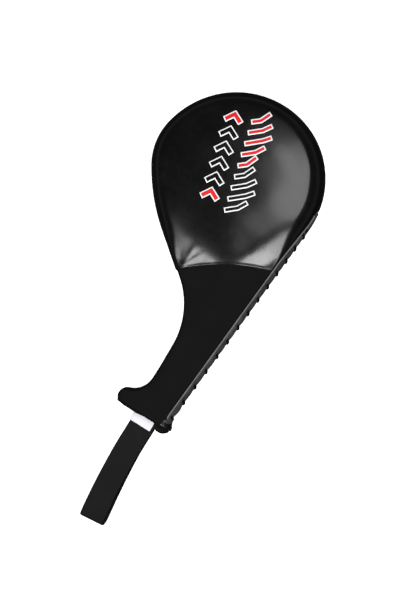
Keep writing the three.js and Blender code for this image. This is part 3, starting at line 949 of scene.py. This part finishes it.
def braid(run, radius, sides, strands=4, pitch=5.0):
    """Radii of a round braid: two opposed sets of strands."""
    turn = run[:, None] * 2 * math.pi / pitch
    angles = strands * around(sides)
    return radius * (0.92 + 0.08 * np.maximum(np.cos(angles + turn), np.cos(angles - turn)))


def widen(obj, path, sides, share):
    """Stretches a tube's sections along the laced edge, so that the cord lies as a flat lace."""
    for ring, middle in enumerate(place(path)):
        for vertex in obj.data.vertices[ring * sides:(ring + 1) * sides]:
            vertex.co.y = middle[1] + (vertex.co.y - middle[1]) * share


def make_lacing():
    path, run = even_steps(spline(lace_route(), 10), 0.45)
    obj = make_tube("lacing_cord", path, braid(run, 0.92, 16), 16, CORD_FABRIC, "cord")
    widen(obj, path, 16, 1.9)
    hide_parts("side_lacing")


make_lacing()


def make_knot(name, node, y):
    """A tight overhand knot, with a short cut end."""
    middle = np.array(side_point(y, HOLE_Z, 1.0))
    t = np.linspace(0, 2 * math.pi, 61)[:-4]
    x = np.sin(t) + 1.7 * np.sin(2 * t)
    z = np.cos(t) - 1.7 * np.cos(2 * t)
    loop = np.column_stack([0.62 * np.sin(3 * t), 0.52 * x, 0.52 * z]) + middle
    path, run = even_steps(loop, 0.35)
    obj = make_tube(name, path, braid(run, 0.8, 12), 12, CORD_FABRIC, "cord")
    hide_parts(node)


make_knot("knot_top", "lace_knot_top", KNOTS[0])
make_knot("knot_bottom", "lace_knot_bottom", KNOTS[1])

# ---------- Butt ----------


def butt_edge(x):
    """Height of the butt's lower edge: higher at the big lobe, lower under the small one."""
    left = 1.0 * ease((-24 - x) / 12) - 1.3 * ease((4 - x) / 14)
    hang = 6.6 * ease((x - 15.5) / 6) * (1 - ease((x - 26) / 10))
    return 2.3 + left - hang


def make_butt():
    """The end of the sleeve, folded over a pad: closed, rounded, and slotted for the strap."""
    left, right = crossings(BUTT_Y + 0.2)
    x0, x1 = float(left[0]) + 0.25, float(right[0]) - 0.1
    middle, half_x = (x0 + x1) / 2, (x1 - x0) / 2
    x = middle - half_x * np.cos(np.linspace(0, math.pi, 180))[:, None]
    half_z = BUTT_HALF * np.sqrt(1 - np.minimum(abs(x - middle) / half_x, 1) ** 9)
    top = BUTT_Y + 0.3
    low = np.minimum(butt_edge(x), top - 0.6)
    angles = around(30)
    c, d = np.cos(angles), np.sin(angles)
    y = (top + low) / 2 + (top - low) / 2 * np.sign(d) * abs(d) ** 0.8
    z = np.maximum(half_z, 0.5) * np.sign(c) * abs(c) ** 0.35
    rings = np.stack(np.broadcast_arrays(x, y, z), axis=-1)
    obj = make_mesh("butt_cap", *capped_rings(rings), NECK_FABRIC, "butt_leather")
    turn_outwards(obj)
    slot = np.diag([STRAP_WIDTH + 0.6, 20, 2 * STRAP_ROOT + 0.2, 1 / MM]) * MM
    bm = bmesh.new()
    middle = Matrix.Translation(Vector(place((STRAP_PIVOT[0], 0, 0))))
    bmesh.ops.create_cube(bm, size=1, matrix=middle @ Matrix(slot.tolist()))
    cut_away(obj, bm)
    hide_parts("butt_panel")


make_butt()

# ---------- Wrist strap ----------

SWAY = (0.000538, -0.0440)  # the strap's sideways bend: a parabola of the distance along it
SIDE_STEP = 0.8  # the strap leaves the butt a little off its slot's middle
STRAP_TURN = (Matrix.Rotation(math.radians(STRAP_LEAN), 3, "Z")
              @ Matrix.Rotation(math.radians(STRAP_DROOP), 3, "X"))


def on_strap(across, along, up, shift=0.0):
    """Points on the strap's axes, bent sideways with the strap, set on the grip's axes."""
    across, along, up = (np.asarray(v, float) for v in (across, along, up))
    bent = np.clip(along, 0, None)
    sway = SWAY[0] * bent ** 2 + SWAY[1] * bent - SIDE_STEP * ease(along / 40)
    angle = np.arctan(2 * SWAY[0] * bent + SWAY[1]) * ease(along / 10)
    x = sway + (across + shift) * np.cos(angle)
    y = -along + (across + shift) * np.sin(angle)
    flat = np.stack(np.broadcast_arrays(x, y, up), axis=-1)
    return flat @ np.array(STRAP_TURN).T + STRAP_PIVOT


SHADE_BAND_WIDTH = 1.4  # painted shade: the webbing's edges this wide take a darker material, for the shade at the loop's sides


def strap_half(along):
    rise = ease((along - STRAP_SEWN) / (STRAP_LENGTH - 15 - STRAP_SEWN))
    return STRAP_ROOT + (STRAP_OPEN - STRAP_ROOT) * rise


def strap_path():
    """The webbing's middle line in side view: out along the front, round the far fold, and back."""
    end = STRAP_LENGTH - STRAP_OPEN
    out = [(s, strap_half(s) - WEBBING / 2) for s in np.linspace(-9.5, end, 74)]
    middle = STRAP_OPEN - WEBBING / 2
    turns = np.linspace(0, math.pi, 15)[1:-1]
    turn = [(end + middle * math.sin(a), middle * math.cos(a)) for a in turns]
    return np.array(out + turn + [(s, -u) for s, u in reversed(out)])


def make_strap():
    path, run = even_steps(strap_path(), 1.1)
    tangent = unit(np.gradient(path, axis=0))
    normal = np.column_stack([-tangent[:, 1], tangent[:, 0]])
    half, thick = STRAP_WIDTH / 2, WEBBING / 2
    section = []
    for x in np.linspace(-1, 1, 27):
        rib = 0.05 * math.cos(x * 13 * math.pi)
        edge = thick * math.sqrt(max(0.0, 1 - max(0.0, (abs(x) * half - half + 1.0)) ** 2))
        section.append((x * half, min(thick - 0.05 + rib, edge)))
    loop = np.array(section + [(x, -t) for x, t in reversed(section)][1:-1])
    rows = []
    for (s, u), n, r in zip(path, normal, run):
        weave = 1 + 0.03 * math.cos(r * 2 * math.pi / 2.2)
        along = s + n[0] * loop[:, 1] * weave
        up = u + n[1] * loop[:, 1] * weave
        rear = ease((r - run[-1] / 2) / 12) * 0.9 * np.clip(s / STRAP_LENGTH, 0, 1)
        rows.append(on_strap(loop[:, 0], along, up, rear))
    obj = make_mesh("wrist_strap_webbing", *capped_rings(rows), WEB_FABRIC, "webbing", body=None)
    # the edges get the darker webbing: painted shade
    obj.data.materials.append(WEB_PAINTED_SHADE)
    in_shade_band = np.abs(loop[:, 0] + np.roll(loop[:, 0], -1)) / 2 > half - SHADE_BAND_WIDTH
    for k in range((len(rows) - 1) * len(loop)):
        obj.data.polygons[k].material_index = int(in_shade_band[k % len(loop)])
    turn_outwards(obj)
    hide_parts("wrist_strap", "strap_tail")
    hinge_blend(obj)


LABEL_ACROSS = (-16.2, 11.2)
LABEL_ALONG = (-7.6, 4.6)
LABEL_THICKNESS = 0.35


def make_label():
    """A satin label, left blank, sewn in with the strap and lying over its front."""
    a, s = np.meshgrid(np.linspace(*LABEL_ACROSS, 41), np.linspace(*LABEL_ALONG, 25))
    free = ease((-a - 12) / 4)
    up = STRAP_ROOT + 0.42 + 0.16 * np.sin(a * 0.33 + 0.5) * ease((s + 3) / 6)
    up = up + 0.5 * ease((s - 1) / 6) * ease((a - 4) / 7) - 0.7 * free
    grid = on_strap(a, s, up)
    obj = make_mesh("label_blank", grid, grid_faces(*a.shape), LABEL_FABRIC, "label", body=None)
    thicken(obj, LABEL_THICKNESS)
    turn_outwards(obj)
    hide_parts("size_label")
    hinge_blend(obj)


def hinge_blend(obj):
    """Bakes a piece's placement into its mesh; the strap's root, where it would bend, is found but
    not used.
    """
    start, end = place(on_strap(0, -1.6, 0)), place(on_strap(0, 2.6, 0))
    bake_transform(obj)


make_strap()
make_label()


# (share of the stitch's length, share of its radius)
STITCH_PROFILE = [(0.06, 0.55), (0.2, 0.92), (0.5, 1.0), (0.8, 0.92), (0.94, 0.55)]


def capsule(start, end, radius, sides=8):
    """One stitch: a short thread that dips in at both ends."""
    start, end = np.asarray(start, float), np.asarray(end, float)
    axis = unit(end - start)
    n1 = unit(np.cross(axis, [0, 0, 1.0] if abs(axis[2]) < 0.8 else [1.0, 0, 0]))
    n2 = np.cross(axis, n1)
    angles = around(sides)[:, None]
    circle = radius * (np.cos(angles) * n1 + np.sin(angles) * n2)
    rings = [start + (end - start) * t + r * circle for t, r in STITCH_PROFILE]
    return capped_rings(rings, (start, end))


def make_stitches(name, segments, radius, material, slot, body="paddle"):
    stitches = joined(capsule(start, end, radius) for start, end in segments)
    obj = make_mesh(name, *stitches, material, slot, body)
    turn_outwards(obj)
    return obj


TACK_WIDTH = 25.0
TACK_ENDS = (13.8, 16.2)
TACK_STITCHES = 22


def make_bartack():
    """Zigzag stitching across the strap's back."""
    turns = []
    for i in range(TACK_STITCHES + 1):
        across = TACK_WIDTH * (i / TACK_STITCHES - 0.5)
        turns.append(on_strap(across, TACK_ENDS[i % 2], -STRAP_ROOT - 0.30))
    obj = make_stitches("bartack_stitches", zip(turns, turns[1:]), 0.32, THREAD, "cord", "strap")
    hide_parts("strap_bartack")


make_bartack()


def thread_row(points, pitch, length):
    """Stitches along a line of points."""
    dense, run = even_steps(points, 0.25)
    at = lambda s: np.array([np.interp(s, run, dense[:, k]) for k in range(3)])
    return [(at(s), at(s + length)) for s in np.arange(pitch / 2, run[-1] - length, pitch)]


HEM_STITCH = 2.4  # distance of the stitching from the hem
END_STITCH = 3.2  # and of the fabric's stitching from the butt's end
THREAD_RADIUS = 0.2


def surface_over(obj):
    """The height of a piece's upper face at a point of the plan, in millimetres."""
    tree = BVHTree.FromObject(obj, bpy.context.evaluated_depsgraph_get())

    def height(x, y):
        spot = Vector(place((x, y, 60.0)))
        hit = tree.ray_cast(spot, Vector((0, 0, -1)))
        return (hit[0].z - ORIGIN[2]) / MM
    return height


def sew(name, piece, x, y, material, slot):
    """A row of stitches along a plan line on a piece's upper face."""
    height = surface_over(piece)
    line = np.array([(a, b, height(a, b) + THREAD_RADIUS / 2) for a, b in zip(x, y)])
    make_stitches(name, thread_row(line, 3.4, 2.6), THREAD_RADIUS, material, slot)


hem_x = np.linspace(-48, 14, 60)
sew("hem_stitching", head_front, hem_x, hem_y(hem_x) + HEM_STITCH / HEM_TILT, THREAD, "cord")
end_x = np.linspace(-30, 19, 50)
sew("butt_stitching", neck, end_x, np.full(50, BUTT_Y + END_STITCH), THREAD, "cord")

# ---------- Print ----------

PRINT_ORIGIN = np.array([-58.8, 302.0])
PRINT_UP = np.array([-0.258, 0.966])
PRINT_ACROSS = np.array([0.966, 0.258])
PRINT_EDGE = 1.35
FILM = 0.16
CHEVRONS = 6
CHEVRON_PITCH = 18.4
BARS = 9
BAR_PITCH = 13.2


def ribbon(path, width, grow):
    """Plan grid of a stroke with mitred bends, `grow` wider and longer than its path."""
    p = np.asarray(path, float)
    p[0] += grow * unit(p[0] - p[1])
    p[-1] += grow * unit(p[-1] - p[-2])
    step = unit(np.diff(p, axis=0))
    normal = np.column_stack([-step[:, 1], step[:, 0]])
    mitres = [(a + b) / (1 + a @ b) for a, b in zip(normal, normal[1:])]
    joint = [normal[0], *mitres, normal[-1]]
    rows = []
    half = width / 2 + grow
    for i in range(len(step)):
        count = max(2, int(np.linalg.norm(p[i + 1] - p[i]) / 1.0))
        for t in np.linspace(0, 1, count, endpoint=i == len(step) - 1):
            centre = p[i] * (1 - t) + p[i + 1] * t
            spread = joint[i] * (1 - t) + joint[i + 1] * t
            rows.append([centre + spread * half * k for k in np.linspace(-1, 1, 7)])
    return np.array(rows)


def chevron(i):
    u = -50 + CHEVRON_PITCH * (i + 0.5)
    return [(u - 4.5, -27.0), (u + 3.5, -18.0), (u - 4.5, -9.0)]


def bar(i):
    u = -58 + BAR_PITCH * (i + 0.5)
    lead = 5 * math.sin(1.3 * i)
    return [(u - 3, 4.0), (u + 3 + lead / 2, 17.0 + lead), (u + 11, 25.0 + lead)]


def make_print(name, strokes, grow, lift, material, slot, height):
    """Ink film laid over the leather, in closed strips."""
    films = []
    for path, width in strokes:
        grid = ribbon(path, width, grow)
        plan = PRINT_ORIGIN + grid[..., :1] * PRINT_UP + grid[..., 1:] * PRINT_ACROSS
        z = np.array([[height(x, y) for x, y in row] for row in plan])[..., None] + lift
        films.append(slab(*(np.concatenate([plan, level], axis=-1) for level in (z, z - FILM))))
    turn_outwards(make_mesh(name, *joined(films), material, slot))


def make_prints():
    height = surface_over(head_front)
    stack = [(chevron(i), 4.6) for i in range(CHEVRONS)]
    fan = [(bar(i), 3.4) for i in range(BARS)]
    red = [stack[0], stack[-1], *fan[4:]]
    black = [*stack[1:-1], *fan[:4]]
    make_print("print_outline", stack + fan, PRINT_EDGE, 0.08, PRINT_WHITE, "print_white", height)
    make_print("print_red", red, 0.0, 0.16, PRINT_RED, "print_red", height)
    make_print("print_dark", black, 0.0, 0.16, HEAD_LEATHER, "head_leather", height)


make_prints()

# ---------- Floor, light and camera ----------

FLOOR_RADIUS = 4.5
FLOOR_DROP = 0.0006
BOWL_BEND = 1.5
BOWL_RISE = 3.2


def make_floor():
    """A pale floor that turns up into a round backdrop. Only the camera sees it."""
    m = Nodes("floor", Roughness=0.9, Specular_IOR_Level=0.1,
              Emission_Color=(1, 1, 1, 1), Emission_Strength=0.75)
    at = m.place()
    m.colour(m.blend(m.noise(at, 3, 2), (0.86, 0.86, 0.86), (0.90, 0.90, 0.90)))
    section = [(FLOOR_RADIUS * t, 0.0) for t in (0.2, 0.6)]
    for a in np.linspace(0, math.pi / 2, 13):
        section.append((FLOOR_RADIUS + BOWL_BEND * math.sin(a), BOWL_BEND * (1 - math.cos(a))))
    section.append((FLOOR_RADIUS + BOWL_BEND, BOWL_BEND + BOWL_RISE))
    turns = around(48)
    points = [(r * math.cos(t), r * math.sin(t), z - FLOOR_DROP) for r, z in section for t in turns]
    faces = [tuple(reversed(f)) for f in grid_faces(len(section), len(turns), closed=True)]
    mesh = bpy.data.meshes.new("floor")
    mesh.from_pydata(points, [], [tuple(range(len(turns))), *faces])
    mesh.materials.append(m.material)
    mesh.shade_smooth()
    floor = put("floor", mesh)
    floor.visible_glossy = False
    floor.visible_diffuse = False
    floor.visible_shadow = False


AIM = (0.678, 0.538, 0.5)  # the camera's aim, as shares of the CAD's box
TARGET = Vector([low + share * (high - low) for low, high, share in zip(*CAD_BOX, AIM)])
CAMERA_TILT = math.radians(10)
CAMERA_ROLL = math.radians(32)
CAMERA_DISTANCE = 1.9886
LENS = 104
LIGHT_TARGET = Vector((0.0, 0.05, 0.02))
LIGHT_DISTANCE = 2.6


def make_camera():
    back = Vector((math.sin(CAMERA_TILT), -0.01, math.cos(CAMERA_TILT))).normalized()
    up = Vector((-math.sin(CAMERA_ROLL), math.cos(CAMERA_ROLL), 0))
    right = up.cross(back).normalized()
    up = back.cross(right)
    data = bpy.data.cameras.new("camera")
    data.lens = LENS
    camera = put("camera", data)
    turned = Matrix((right, up, back)).transposed().to_4x4()
    camera.matrix_world = Matrix.Translation(TARGET + back * CAMERA_DISTANCE) @ turned
    bpy.context.scene.camera = camera


def softbox(name, lean, size, radiance, spin=0.0):
    """A light that faces the paddle from `lean` degrees off vertical, along x and y."""
    x, y = (math.tan(math.radians(a)) for a in lean)
    direction = Vector((x, y, 1)).normalized()
    data = bpy.data.lights.new(name, "AREA")
    data.shape = "RECTANGLE"
    data.size, data.size_y = size
    data.energy = radiance * math.pi * size[0] * size[1]
    light = put(name, data)
    facing = direction.to_track_quat("Z", "Y").to_matrix().to_4x4()
    turned = Matrix.Rotation(math.radians(spin), 4, direction) @ facing
    light.matrix_world = Matrix.Translation(LIGHT_TARGET + direction * LIGHT_DISTANCE) @ turned


def make_light():
    world = bpy.context.scene.world = bpy.data.worlds.new("studio")
    world.use_nodes = True
    tree = world.node_tree
    kinds = ("TexCoord", "SeparateXYZ", "MapRange", "ValToRGB")
    coordinates, split, height, ramp = (tree.nodes.new("ShaderNode" + kind) for kind in kinds)
    height.inputs["From Min"].default_value = -1
    bands = [(0.0, 0.03), (0.47, 0.03), (0.52, 0.30), (0.58, 0.26), (0.72, 0.055), (1.0, 0.042)]
    while len(ramp.color_ramp.elements) < len(bands):
        ramp.color_ramp.elements.new(0.5)
    for element, (position, strength) in zip(ramp.color_ramp.elements, bands):
        element.position = position
        element.color = (strength, strength, strength, 1)
    tree.links.new(coordinates.outputs["Generated"], split.inputs["Vector"])
    tree.links.new(split.outputs["Z"], height.inputs["Value"])
    tree.links.new(height.outputs["Result"], ramp.inputs["Fac"])
    tree.links.new(ramp.outputs["Color"], tree.nodes["Background"].inputs["Color"])
    softbox("light_crescent", (6.4, 14.6), (1.05, 0.95), 8.8, spin=-45)
    softbox("light_lower_right", (21.5, -13), (0.6, 0.5), 40)
    softbox("light_lower_left", (-10.5, -26.5), (0.55, 0.55), 31)


make_floor()
make_light()
make_camera()

bpy.context.scene.view_settings.view_transform = "Standard"
bpy.context.scene.view_settings.look = "None"
